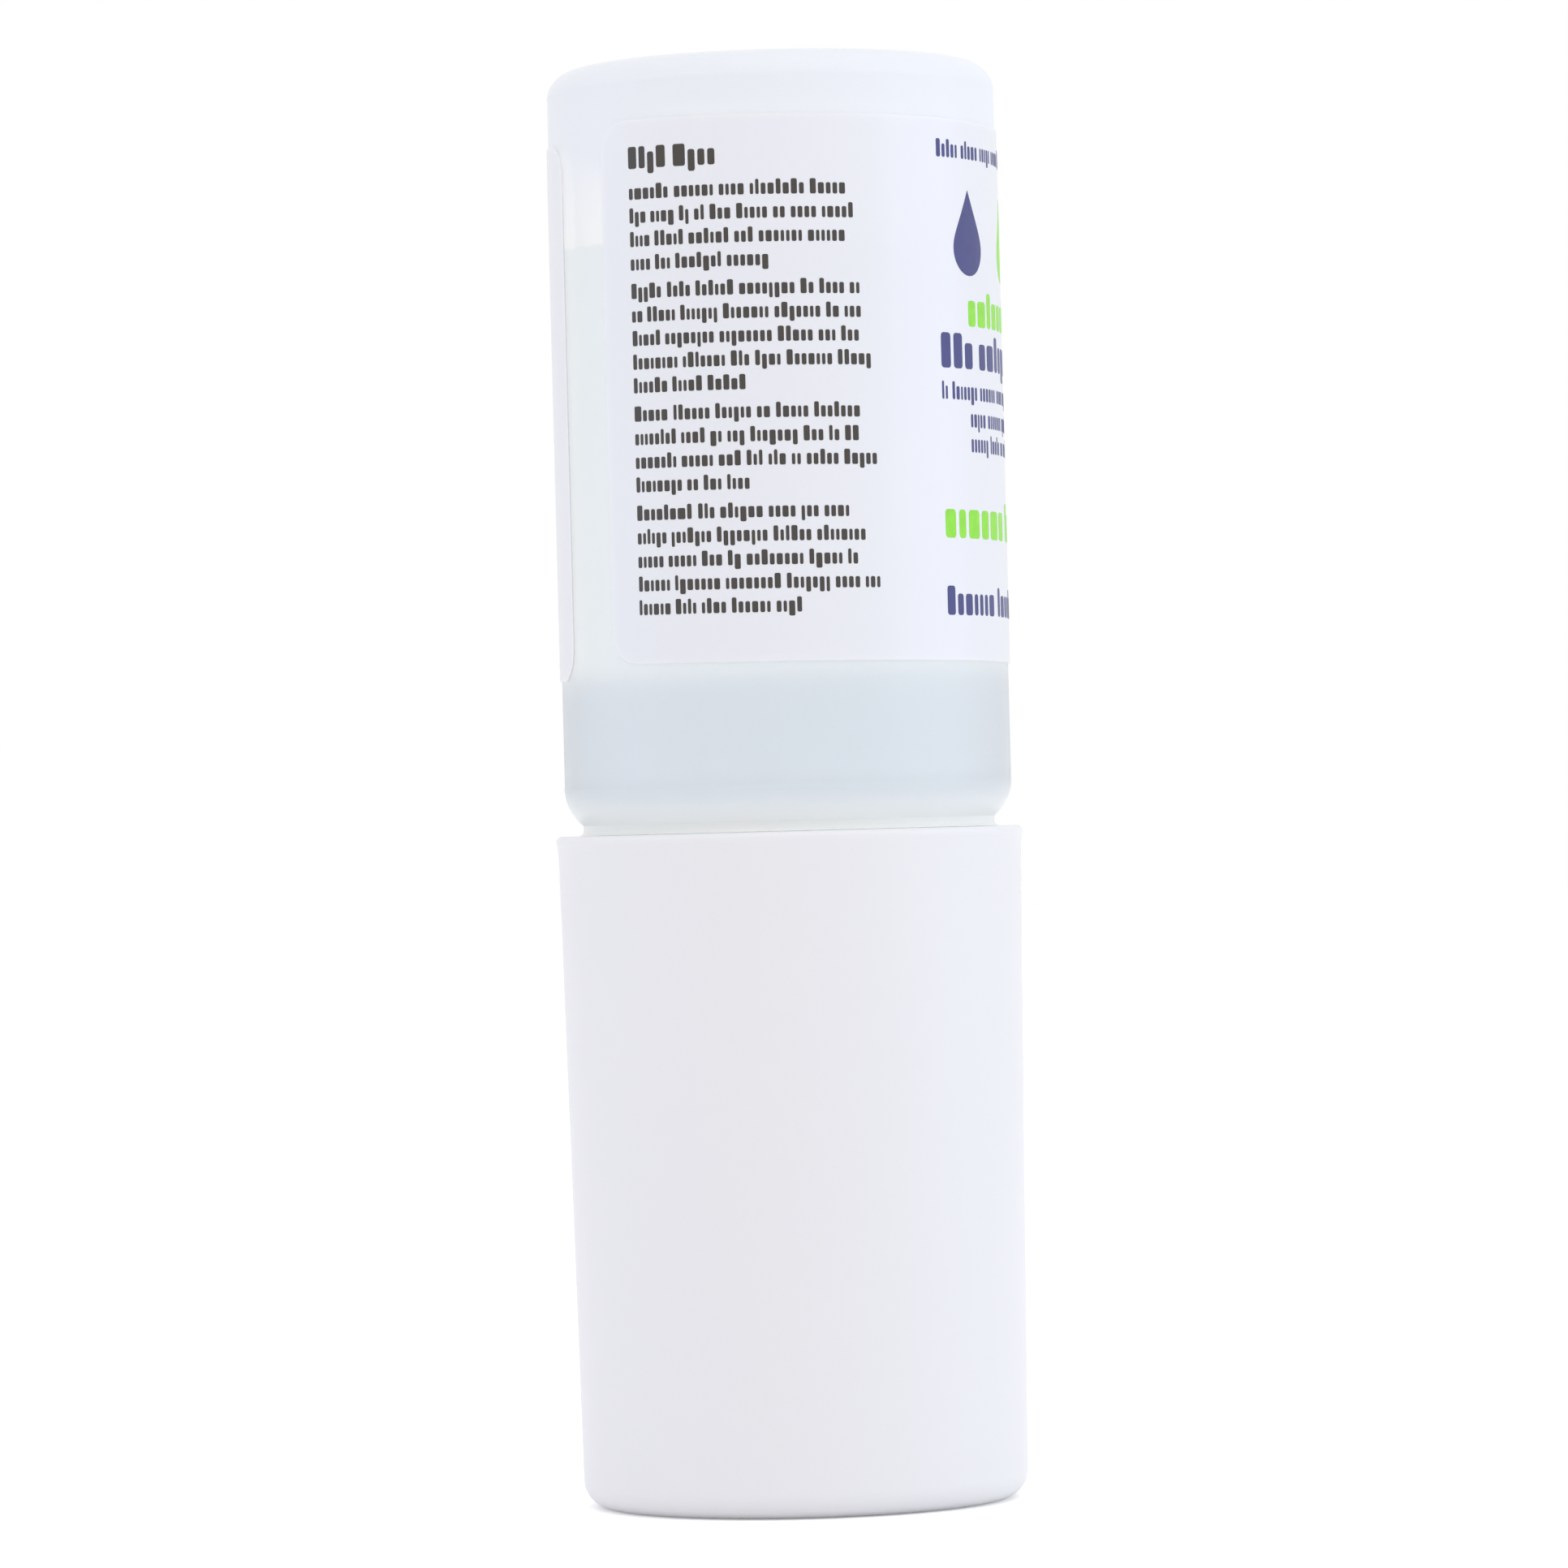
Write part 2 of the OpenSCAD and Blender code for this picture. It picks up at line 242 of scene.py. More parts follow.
THREADED_TOP_Z = RING_LOW_Z - RING_CLEAR
GAP_S = math.radians(LABEL_GAP_AT) * LABEL_R
ROUND_S = 2 * math.pi * LABEL_R


# Mesh helpers

ROUND_STEPS = 192


def arc(r, z, radius, a, b, steps=12):
    """Points of an arc about (r, z), from angle a to angle b in degrees."""
    turns = [math.radians(a + (b - a) * i / steps) for i in range(steps + 1)]
    return [(r + radius * math.cos(t), z + radius * math.sin(t)) for t in turns]


def line(a, b, steps):
    """Points from a to b, both included."""
    shares = [i / steps for i in range(steps + 1)]
    return [(a[0] + (b[0] - a[0]) * t, a[1] + (b[1] - a[1]) * t) for t in shares]


def link(name, bm, sharp_deg=35):
    """Makes a piece of a bmesh, smooth except across edges sharper than sharp_deg."""
    bmesh.ops.recalc_face_normals(bm, faces=bm.faces)
    for face in bm.faces:
        face.smooth = True
    for edge in bm.edges:
        edge.smooth = edge.calc_face_angle(0) < math.radians(sharp_deg)
    mesh = bpy.data.meshes.new(name)
    bm.to_mesh(mesh)
    bm.free()
    piece = bpy.data.objects.new(name, mesh)
    bpy.context.scene.collection.objects.link(piece)
    return piece


def ring_of(bm, r, z, shape):
    """One ring of a revolved surface, or the single point where it meets the axis."""
    if r < 1e-6:
        return [bm.verts.new((0, 0, z * MM))]
    ring = []
    for i in range(ROUND_STEPS):
        angle = 2 * math.pi * i / ROUND_STEPS
        radius = shape(r, z, angle) * MM
        ring.append(bm.verts.new((radius * math.cos(angle), radius * math.sin(angle), z * MM)))
    return ring


def revolve(name, profile, shape=lambda r, z, angle: r, sharp_deg=35, lining=0):
    """The closed surface that a profile of (r, z) points sweeps round the axis.

    A profile that doesn't begin and end on the axis is a loop. shape may move a point's radius.
    The faces of the profile's first points, as many as lining says, take the piece's second material."""
    bm = bmesh.new()
    rings = [ring_of(bm, r, z, shape) for r, z in profile]
    pairs = list(zip(rings, rings[1:]))
    if len(rings[0]) > 1:
        pairs.append((rings[-1], rings[0]))
    for number, (low, high) in enumerate(pairs):
        for i in range(ROUND_STEPS):
            j = (i + 1) % ROUND_STEPS
            corners = [low[i % len(low)], low[j % len(low)], high[j % len(high)], high[i % len(high)]]
            bm.faces.new(dict.fromkeys(corners)).material_index = int(number < lining)
    return link(name, bm, sharp_deg)


def thread_share(z, angle, low_z):
    """Share of the thread's height at a point: 1 on the crest, 0 between ridges and past both ends."""
    turn = (z - low_z) / THREAD_PITCH
    part = angle / (2 * math.pi)
    nearest = round(turn - part) + part
    ends = min(nearest, THREAD_TURNS - nearest) / THREAD_FADE
    ridge = (RIDGE_HALF - abs(turn - nearest)) / RIDGE_FLANK
    return max(0.0, min(1.0, ends, 1.0, ridge))


# Outline of the label, which the bottle needs too.
# A place on it is s, the distance round the body from the side that faces the camera, and z.

def skew(s):
    """How far the label's print and edges have slipped along the axis: the wrapped end lies lower."""
    return -LABEL_SKEW * s / ROUND_S


def rounded(start, end, low_z, high_z, corner, steps=8, step=0.4):
    """Places and edges of a sheet for add_strip, with round corners of just under half its sides at most."""
    corner = min(corner, (end - start) / 2.01, (high_z - low_z) / 2.01)
    ease = [corner * (1 - math.cos(math.pi / 2 * i / steps)) for i in range(steps + 1)]
    inner = max(1, round((end - start - 2 * corner) / step))
    places = [start + e for e in ease]
    places += [start + corner + (end - start - 2 * corner) * i / inner for i in range(1, inner)]
    places += [end - e for e in reversed(ease)]

    def inset(s):
        near = min(corner, max(0.0, corner - min(s - start, end - s)))
        return corner - math.sqrt(max(0.0, corner ** 2 - near ** 2))
    return places, (lambda s: low_z + inset(s)), (lambda s: high_z - inset(s))


def label_outline():
    """Places and edges of the label, from one side of its gap round to the other."""
    start = GAP_S + LABEL_GAP / 2
    return rounded(start, start + ROUND_S - LABEL_GAP, LABEL_LOW_Z, LABEL_TOP_Z, LABEL_ROUND)


def label_place(x, y):
    """The place s of a point round the body, from the middle of the label's gap to one turn past it."""
    s = math.atan2(x, -y) * LABEL_R
    return s if s >= GAP_S else s + ROUND_S


# Bottle

def base_hollow(z):
    """The hollow of the base at height z, from the ring that it stands on in to the axis."""
    recess_r = FOOT_IN_R - PUSH_UP
    crown_z = z - PUSH_UP - FOOT_EASE / 4
    steps = 16
    points = arc(FOOT_IN_R, z - FOOT_EASE, FOOT_EASE, 90, 135, 4)
    points += line((recess_r + FOOT_EASE, z - PUSH_UP + FOOT_EASE), (recess_r, crown_z), 3)[:-1]
    for i in range(steps + 1):
        t = i / steps
        points.append((recess_r * (1 - t), crown_z - BASE_CROWN * math.sin(math.pi / 2 * t)))
    return points


def shoulder(radius):
    """The shoulder's curve, at a radius from its own centre, from its slope up to the body."""
    return arc(BODY_R - SHOULDER_ROUND, SHOULDER_Z, radius, SHOULDER_SLOPE - 90, 0, 16)


def bore_top(inner):
    """Height at which the slope inside the shoulder, which ends at inner's first point, meets the bore."""
    return inner[0][1] - (inner[0][0] - NECK_BORE_R) * SLOPE


def bottle_shape(r, z, angle):
    """Winds the thread round the neck, and leaves the faint seam of the two mould halves on the body."""
    if abs(r - NECK_R) < 1e-3 and THREADED_LOW_Z < z < THREADED_TOP_Z:
        return r + (THREAD_R - NECK_R) * thread_share(z, angle, THREAD_LOW_Z)
    if r > OUTER_FACE_R and SHOULDER_Z <= z <= BASE_Z - BASE_ROUND:
        off = math.remainder(angle - SEAM_AT, math.pi) * r
        return r - SEAM_H + SEAM_H * math.exp(-(off / SEAM_W) ** 2)
    return r


def bottle_inside():
    """Profile of the inside, from the mouth of the neck to the axis under the base."""
    inner = shoulder(INNER_TURN_R)
    turn_r = BASE_ROUND - BODY_WALL
    points = [(NECK_BORE_R, NECK_END_Z + MOUTH_EASE), (NECK_BORE_R, SNAP_Z - SNAP_H * 2)]
    points += [(NECK_BORE_R + SNAP_H, SNAP_Z), (NECK_BORE_R, SNAP_Z + SNAP_H * 2)]
    points += [(NECK_BORE_R, bore_top(inner))]
    points += inner
    points += arc(BODY_IN_R - turn_r, BASE_Z - BASE_T - turn_r, turn_r, 0, 90, 8)
    return points + base_hollow(BASE_Z - BASE_T)


def bottle_outside():
    """Profile of the outside, from the mouth of the neck to the axis at the base.

    The shoulder ends in a short land that meets the cap's rim."""
    turn = 90 - SHOULDER_SLOPE
    fillet_z = NECK_ROOT_Z - NECK_FILLET * math.tan(math.radians(turn / 2))
    ring_r = NECK_RING_R - NECK_RING_EASE
    points = [(NECK_BORE_R + MOUTH_EASE, NECK_END_Z)]
    points += arc(NECK_R - MOUTH_ROUND, NECK_END_Z + MOUTH_ROUND, MOUTH_ROUND, -90, 0, 4)
    points += line((NECK_R, THREADED_LOW_Z), (NECK_R, THREADED_TOP_Z), THREAD_ROWS)
    points += [(NECK_R, RING_LOW_Z)]
    points += arc(ring_r, RING_LOW_Z + NECK_RING_EASE, NECK_RING_EASE, -90, 0, 4)
    points += [(NECK_RING_R, RING_TOP_Z - NECK_RING_H / 2), (NECK_R + NECK_RING_H / 2, RING_TOP_Z)]
    points += [(NECK_R, RING_TOP_Z)]
    points += arc(NECK_R + NECK_FILLET, fillet_z, NECK_FILLET, 180, 180 - turn, 8)
    points += shoulder(SHOULDER_ROUND)[:1] + [(LAND_R + LAND_ROUND, LAND_Z)]
    points += arc(LAND_R + LAND_ROUND, LAND_Z + LAND_UP + LAND_ROUND, LAND_ROUND, -90, -180, 6)
    points += arc(BODY_R - SHOULDER_ROUND, SHOULDER_Z, SHOULDER_ROUND, -LAND_ANGLE, 0, 18)
    points += [(BODY_R, SHOULDER_Z + up) for up in ROWS_UP]
    points += [(BODY_R, z) for z in label_rows()]
    points += [(BODY_R, BASE_Z - BASE_ROUND - 1)]
    points += arc(BODY_R - BASE_ROUND, BASE_Z - BASE_ROUND, BASE_ROUND, 0, 90, 20)
    return points + base_hollow(BASE_Z)


def make_bottle():
    """Body, shoulder and threaded neck in one wall, clear on its inner face."""
    inside = bottle_inside()
    bottle = revolve("bottle_wall", inside[::-1] + bottle_outside(), bottle_shape, lining=len(inside))
    wet_under_label(bottle)
    return bottle


def label_rows():
    """Heights of the rows of faces under the label, close together by its edges."""
    edge = (0.15, 0.5, 1, 1.9)
    rows = [LABEL_LOW_Z + e for e in edge]
    rows += [z for _, z in line((0, rows[-1]), (0, LABEL_TOP_Z - edge[-1]), 8)][1:-1]
    return rows + [LABEL_TOP_Z - e for e in reversed(edge)]


def wet_under_label(bottle):
    """Slants the rows of faces under the label as its edges slant, and gives them the third material."""
    places, low, high = label_outline()
    start = places[0]
    end = places[-1]
    spots = {}
    for corner in bottle.data.vertices:
        x, y, z = corner.co / MM
        if math.hypot(x, y) > OUTER_FACE_R and LABEL_LOW_Z <= z <= LABEL_TOP_Z:
            s = label_place(x, y)
            spots[corner.index] = (s, z)
            in_gap = max(0.0, start - s, s - end) / LABEL_GAP
            corner.co.z += skew(s) * (1 - in_gap) * MM
    for face in bottle.data.polygons:
        around = [spots.get(i) for i in face.vertices]
        if None not in around and all(start <= s <= end and low(s) <= z <= high(s) for s, z in around):
            face.material_index = 2


def make_liquid():
    """The liquid, which wets every wall that it meets and curves up a little at the rim of its surface."""
    plug_r = PLUG_IN_R + WET_T
    plug_z = PLUG_TOP_Z - WET_T
    bore_r = NECK_BORE_R + WET_T
    body_r = BODY_IN_R + WET_T
    inner = shoulder(INNER_TURN_R + WET_T)
    steps = 8
    profile = [(0, LIQUID_LOW_Z), (plug_r, LIQUID_LOW_Z), (plug_r, plug_z), (bore_r, plug_z)]
    profile += [(bore_r, bore_top(inner))]
    profile += inner
    for i in range(steps + 1):
        t = i / steps
        profile.append((body_r - LIQUID_RIM_W * t, LIQUID_TOP_Z - LIQUID_RIM_H * (1 - (1 - t) ** 2)))
    profile.append((0, LIQUID_TOP_Z - LIQUID_RIM_H))
    return revolve("liquid_body", profile)


def make_tip():
    """Dropper tip: hollow plug with its snap bead, flange, and nozzle with the cup that shapes the drop."""
    orifice_z = NOZZLE_END_Z + DROP_CUP_L
    plug_r = NECK_BORE_R - PLUG_FIT
    seat_z = NECK_END_Z - TOUCH_GAP
    profile = [(DROP_CUP_R + DROP_CUP_EASE, NOZZLE_END_Z)]
    profile += arc(NOZZLE_TIP_R - NOZZLE_ROUND, NOZZLE_END_Z + NOZZLE_ROUND, NOZZLE_ROUND, -90, 0, 8)
    profile += [(NOZZLE_BASE_R + out, FLANGE_LOW_Z + up) for out, up in NOZZLE_ROOT]
    profile += arc(FLANGE_R - FLANGE_ROUND, FLANGE_LOW_Z + FLANGE_ROUND, FLANGE_ROUND, -90, 0, 4)
    profile += [(FLANGE_R, seat_z), (plug_r, seat_z), (plug_r, SNAP_Z - SNAP_H * 2)]
    profile += [(plug_r + SNAP_H, SNAP_Z), (plug_r, SNAP_Z + SNAP_H * 2), (plug_r, PLUG_TOP_Z - PLUG_LEAD)]
    profile += [(plug_r - PLUG_LEAD / 2, PLUG_TOP_Z), (PLUG_IN_R, PLUG_TOP_Z), (PLUG_IN_R, NECK_END_Z)]
    profile += [(ORIFICE_R, orifice_z + ORIFICE_L), (ORIFICE_R, orifice_z)]
    profile += [(DROP_CUP_R, orifice_z - DROP_CUP_R / 2), (DROP_CUP_R, NOZZLE_END_Z + DROP_CUP_EASE)]
    return revolve("tip_moulding", profile)


# Cap

def cap_in_r(z):
    """Radius of the inside of the cap's wall at height z."""
    return CAP_MOUTH_R - (CAP_H - z) * math.tan(CAP_DRAFT)


def make_cap():
    """Outer wall of the cap: a shallow dish in its closed end, its draft, and the small lip at its rim."""
    lip_r = CAP_RIM_R + LIP_FLARE
    foot_r = CAP_END_R - CAP_ROUND - CAP_FOOT_W
    side_r = CAP_RIM_R - LIP_H * math.tan(CAP_DRAFT)
    side_z = CAP_H - LIP_H
    steps = 5
    outside = [(0, DISH_DEPTH), (foot_r - DISH_SLOPE_W, DISH_DEPTH), (foot_r, 0)]
    outside += arc(CAP_END_R - CAP_ROUND, CAP_ROUND, CAP_ROUND, -90, 0, 20)
    outside += line((CAP_END_R + SIDE_OUT, CAP_ROUND + SIDE_UP), (side_r, side_z), 16)
    for i in range(1, steps):
        t = i / steps
        outside.append((side_r + (lip_r - side_r) * t ** LIP_CURVE, side_z + (LIP_H - RIM_ROUND) * t))
    outside += arc(lip_r - RIM_ROUND, CAP_H - RIM_ROUND, RIM_ROUND, 0, 90, 8)
    inside = arc(CAP_MOUTH_R + RIM_ROUND, CAP_H - RIM_ROUND, RIM_ROUND, 90, 180, 8)
    corner_r = cap_in_r(CAP_END_T) - CAP_IN_ROUND
    inside += arc(corner_r, CAP_END_T + CAP_IN_ROUND, CAP_IN_ROUND, 0, -90, 8)
    inside += [(0, CAP_END_T)]
    return revolve("cap_wall", outside + inside)


def make_ribs():
    """The ribs that hold the inner cap in the tall shell, sunk into its wall and its closed end."""
    low_z = CAP_END_T - RIB_SUNK
    in_r = SKIRT_R + TOUCH_GAP
    outline = [
        (in_r, low_z),
        (cap_in_r(low_z) + RIB_SUNK, low_z),
        (cap_in_r(COLLAR_Z) + RIB_SUNK, COLLAR_Z),
        (SKIRT_R + RIB_LEAD / 2, COLLAR_Z),
        (in_r, COLLAR_Z - RIB_LEAD),
    ]
    ribs = bmesh.new()
    for i in range(RIB_N):
        turn = Matrix.Rotation(2 * math.pi * (i + 0.5) / RIB_N, 4, "Z") @ Matrix.Scale(MM, 4)
        sides = []
        for side in (-RIB_T / 2, RIB_T / 2):
            sides.append([ribs.verts.new(turn @ Vector((r, side, z))) for r, z in outline])
        ribs.faces.new(sides[0])
        ribs.faces.new(sides[1][::-1])
        for k in range(len(outline)):
            m = (k + 1) % len(outline)
            ribs.faces.new((sides[0][k], sides[1][k], sides[1][m], sides[0][m]))
    bmesh.ops.bevel(ribs, geom=ribs.edges, offset=RIB_EASE * MM, segments=2, affect="EDGES", profile=0.5)
    return link("cap_ribs", ribs, 50)


def make_post():
    """The round post that the inner cap's well stands on."""
    out_r = WELL_LOW_R + WELL_WALL
    low_z = CAP_END_T - RIB_SUNK
    top_z = INNER_CAP_Z - TOUCH_GAP
    return revolve("cap_post", [(out_r, low_z), (out_r, top_z), (WELL_LOW_R, top_z), (WELL_LOW_R, low_z)])


def inner_cap_shape(r, z, angle):
    """Winds the thread round the inside of the skirt, half a pitch off the neck's."""
    if abs(r - SKIRT_IN_R) < 1e-3:
        return r - (THREAD_R - NECK_R) * thread_share(z, angle, THREAD_LOW_Z + THREAD_PITCH / 2)
    return r


def make_inner_cap():
    """Inner cap: the well with its sealing pin, the deck under the flange, the threaded skirt, its collar."""
    deck_z = FLANGE_LOW_Z - SEAL_GAP
    deck_low_z = deck_z - DECK_T
    floor_z = NOZZLE_END_Z - SEAL_GAP
    pin_r = DROP_CUP_R - SEAL_GAP
    pin_z = floor_z + PIN_L
    collar_r = SKIRT_R + COLLAR_OUT
    profile = [(0, INNER_CAP_Z), (WELL_LOW_R + WELL_WALL, INNER_CAP_Z)]
    profile += [(WELL_TOP_R + WELL_WALL, deck_low_z), (SKIRT_R - SKIRT_EASE, deck_low_z)]
    profile += [(SKIRT_R, deck_low_z + SKIRT_EASE), (SKIRT_R, COLLAR_Z), (collar_r, COLLAR_Z)]
    profile += arc(collar_r - COLLAR_ROUND, SKIRT_MOUTH_Z - COLLAR_ROUND, COLLAR_ROUND, 0, 90, 5)
    profile += arc(SKIRT_IN_R + SKIRT_EASE, SKIRT_MOUTH_Z - SKIRT_EASE, SKIRT_EASE, 90, 180, 5)[:-1]
    threaded = ((SKIRT_IN_R, SKIRT_MOUTH_Z - MOUTH_CLEAR), (SKIRT_IN_R, deck_z + DECK_CLEAR))
    profile += line(*threaded, THREAD_ROWS)
    profile += [(SKIRT_IN_R, deck_z), (WELL_TOP_R, deck_z), (WELL_LOW_R, floor_z), (pin_r, floor_z)]
    profile += [(pin_r, pin_z - pin_r / 2), (pin_r / 2, pin_z), (0, pin_z)]
    return revolve("inner_cap_moulding", profile, inner_cap_shape)


# Label and its print

# Shares of a row's height: the widths of a block of ink, the room that one takes, its round corners, how far
# a tall one rises and a hanging one drops, and the gaps between two blocks and between two words
BLOCK_WIDTHS = (0.3, 0.42, 0.42, 0.54)
BLOCK_ROOM = 0.45
BLOCK_ROUND = 0.14
RISE = 0.36
DROP = 0.34
BLOCK_GAP = 0.19
WORD_GAP = 0.55

# How often the first block of a word rises, another one rises, and one that doesn't rise hangs
FIRST_RISES = 0.5
OTHER_RISES = 0.12
HANGS = 0.1

# How many blocks a word may have, and one that leads a group of rows
WORD_LENGTHS = (2, 3, 4, 5, 6, 7, 8)
LEAD_LENGTHS = (5, 6, 7, 8)

# How full a row is, and the last row of a group, as shares of the panel's width
FULL_ROW = (0.9, 1)
LAST_ROW = (0.45, 0.7)

# Rows of the small print, and the left end, the right end and the groups of rows of each of its two panels.
# Heavier blocks are wider by the factor given.
ROW_H = 0.62
ROW_PITCH = 1.31
GROUP_GAP = 0.2 * ROW_PITCH
LEAD_WEIGHT = 1.4
LEAD_GAP = 0.4
HEADING_H = 0.9
HEADING_W = 6.5
HEADING_PITCH = 1.85
HEADING_WEIGHT = 1.5
PANEL_TOP_Z = 75.3
PANELS = ((-8.6, 6.3, (4, 5, 4, 5)), (30.5, 43.5, (5, 4, 4, 5)))

# The front panel: the middle of it in degrees round the body, and its three drops, whose sides are never
# quite without height
FRONT_AT = 86
DROP_R = 1.5
DROP_TALL = 3.3
DROP_Z = 70.4
DROP_STEP = 6.2
DROP_CURVE = 1.7
SIDE_H = 1e-4


def add_strip(bm, places, low, high, r_in, r_out, lined=False):
    """Adds a closed thin sheet bent round the body: low(s) and high(s) give its edges at each place s.

    The inner face of a lined sheet takes the piece's second material."""
    columns = []
    for s in places:
        angle = s / LABEL_R
        column = []
        for r, z in ((r_in, low(s)), (r_out, low(s)), (r_out, high(s)), (r_in, high(s))):
            z += skew(s)
            column.append(bm.verts.new((r * MM * math.sin(angle), -r * MM * math.cos(angle), z * MM)))
        columns.append(column)
    for a, b in zip(columns, columns[1:]):
        for k in range(4):
            m = (k + 1) % 4
            bm.faces.new((a[k], b[k], b[m], a[m])).material_index = int(lined and k == 3)
    bm.faces.new(columns[0])
    bm.faces.new(columns[-1][::-1])


def make_label():
    """The film, with round corners, wrapped almost all the way round."""
    bm = bmesh.new()
    add_strip(bm, *label_outline(), LABEL_R - LABEL_T, LABEL_R, lined=True)
    return link("label_film", bm)


def add_ink(bm, places, low, high):
    """Adds a shape in ink on the film."""
    add_strip(bm, places, low, high, LABEL_R - INK_T, LABEL_R + INK_T)


def add_word(bm, rng, s, z, length, tall, weight):
    """Adds a word of plain blocks, a few of which rise or hang, most often the first. Returns its end."""
    gap = tall * BLOCK_GAP
    for number in range(length):
        width = tall * rng.choice(BLOCK_WIDTHS) * weight
        rise = tall * RISE * (rng.random() < (FIRST_RISES if number == 0 else OTHER_RISES))
        drop = tall * DROP * (rise == 0 and rng.random() < HANGS)
        low_z = z - tall / 2 - drop
        high_z = z + tall / 2 + rise
        add_ink(bm, *rounded(s, s + width, low_z, high_z, tall * BLOCK_ROUND, 3))
        s += width + gap
    return s - gap


def add_words(bm, rng, left, right, z, tall, weight=1.0):
    """Adds a row of words from left until the next word could pass right."""
    s = left
    while right - s > tall * 2:
        room = int((right - s) / (tall * (BLOCK_GAP + BLOCK_ROOM * weight)))
        length = min(rng.choice(WORD_LENGTHS), room)
        s = add_word(bm, rng, s, z, length, tall, weight) + tall * WORD_GAP


def add_paragraphs(bm, rng, left, right, top_z, groups):
    """Adds a heading and groups of rows, each group led by a heavier word and ended by a shorter row."""
    add_words(bm, rng, left, left + HEADING_W, top_z, HEADING_H, HEADING_WEIGHT)
    z = top_z - HEADING_PITCH
    for rows in groups:
        for i in range(rows):
            start = left
            if i == 0:
                lead = rng.choice(LEAD_LENGTHS)
                start = add_word(bm, rng, left, z, lead, ROW_H, LEAD_WEIGHT) + LEAD_GAP
            full = rng.uniform(*(LAST_ROW if i == rows - 1 else FULL_ROW))
            add_words(bm, rng, start, left + (right - left) * full, z, ROW_H)
            z -= ROW_PITCH
        z -= GROUP_GAP


def make_small_print():
    """Rows of plain blocks in place of the small print, at both sides of the front panel."""
    rng = random.Random(7)
    bm = bmesh.new()
    for left, right, groups in PANELS:
        add_paragraphs(bm, rng, left, right, PANEL_TOP_Z, groups)
    return link("small_print", bm)


def add_drop(bm, centre):
    """Adds a plain drop: round below, drawn up to a point."""
    steps = 24
    places = [centre - DROP_R * math.cos(math.pi * i / steps) for i in range(steps + 1)]

    def side(s):
        return math.sqrt(max(0.0, 1 - ((s - centre) / DROP_R) ** 2))

    def high(s):
        point = max(0.0, 1 - abs(s - centre) / DROP_R) ** DROP_CURVE
        return DROP_Z + SIDE_H + DROP_R * side(s) + (DROP_TALL - DROP_R) * point
    add_ink(bm, places, lambda s: DROP_Z - DROP_R * side(s), high)


def make_front():
    """Plain front panel in two inks: rows of the sizes that a name and a content take, and three drops."""
    rng = random.Random(11)
    centre = math.radians(FRONT_AT) * LABEL_R
    navy = bmesh.new()
    green = bmesh.new()
    # Ink, height on the body, half of the row's length, height of the blocks, and their weight
    rows = (
        (navy, 75.8, 9, 0.75, 0.8),
        (green, 66.8, 6.4, 1.45, 1.3),
        (navy, 64.4, 9, 1.45, 1.3),
        (navy, 62.3, 9, 0.75, 0.7),
        (navy, 60.8, 6.4, 0.75, 0.7),
        (navy, 59.4, 6.4, 0.75, 0.7),
        (green, 55, 9, 1.6, 1.3),
        (navy, 50.5, 9, 1.2, 1),
    )
    for bm, z, half, tall, weight in rows:
        add_words(bm, rng, centre - half, centre + half, z, tall, weight)
    for bm, step in ((navy, -DROP_STEP), (green, 0), (navy, DROP_STEP)):
        add_drop(bm, centre + step)
    return link("front_navy", navy), link("front_green", green)


# Helpers for materials

def principled(name, color, roughness, **sockets):
    """A new material, its node tree, and its Principled shader with constant sockets set."""
    material = bpy.data.materials.new(name)
    material.use_nodes = True
    shader = material.node_tree.nodes["Principled BSDF"]
    shader.inputs["Base Color"].default_value = (*color, 1)
    shader.inputs["Roughness"].default_value = roughness
    for socket, value in sockets.items():
        shader.inputs[socket.replace("_", " ")].default_value = value
    return material, material.node_tree, shader


def feed(tree, socket, value):
    """Links a socket to an output, or sets it to a number or a colour."""
    if isinstance(value, bpy.types.NodeSocket):
        tree.links.new(value, socket)
    elif isinstance(value, tuple):
        socket.default_value = (*value, 1)
    else:
        socket.default_value = value


def calc(tree, operation, first, second):
    """A Math node on two numbers or outputs."""
    node = tree.nodes.new("ShaderNodeMath")
    node.operation = operation
    feed(tree, node.inputs[0], first)
    feed(tree, node.inputs[1], second)
    return node.outputs[0]


def blend_by(tree, share, low, high):
    """A colour between two, by a share from 0 to 1. Either may be an output."""
    mix = tree.nodes.new("ShaderNodeMix")
    mix.data_type = "RGBA"
    for socket, value in (("Factor", share), ("A", low), ("B", high)):
        feed(tree, mix.inputs[socket], value)
    return mix.outputs["Result"]


def noise(tree, scale, detail=3.0):
    """Noise in the object's own metres, so that it stays on the surface as the piece moves."""
    place = tree.nodes.new("ShaderNodeTexCoord")
    texture = tree.nodes.new("ShaderNodeTexNoise")
    texture.inputs["Scale"].default_value = scale
    texture.inputs["Detail"].default_value = detail
    tree.links.new(place.outputs["Object"], texture.inputs["Vector"])
    return texture.outputs["Fac"]


def axis_height(tree):
    """Height along the axis in the object's own metres."""
    place = tree.nodes.new("ShaderNodeTexCoord")
    axes = tree.nodes.new("ShaderNodeSeparateXYZ")
    tree.links.new(place.outputs["Object"], axes.inputs[0])
    return axes.outputs["Z"]


def ramp(tree, value, low, high, start=0.0, end=1.0):
    """Turns a value that runs from low to high into one that runs smoothly from start to end."""
    node = tree.nodes.new("ShaderNodeMapRange")
    node.interpolation_type = "SMOOTHSTEP"
    tree.links.new(value, node.inputs["Value"])
    for socket, number in (("From Min", low), ("From Max", high), ("To Min", start), ("To Max", end)):
        node.inputs[socket].default_value = number
    return node.outputs["Result"]


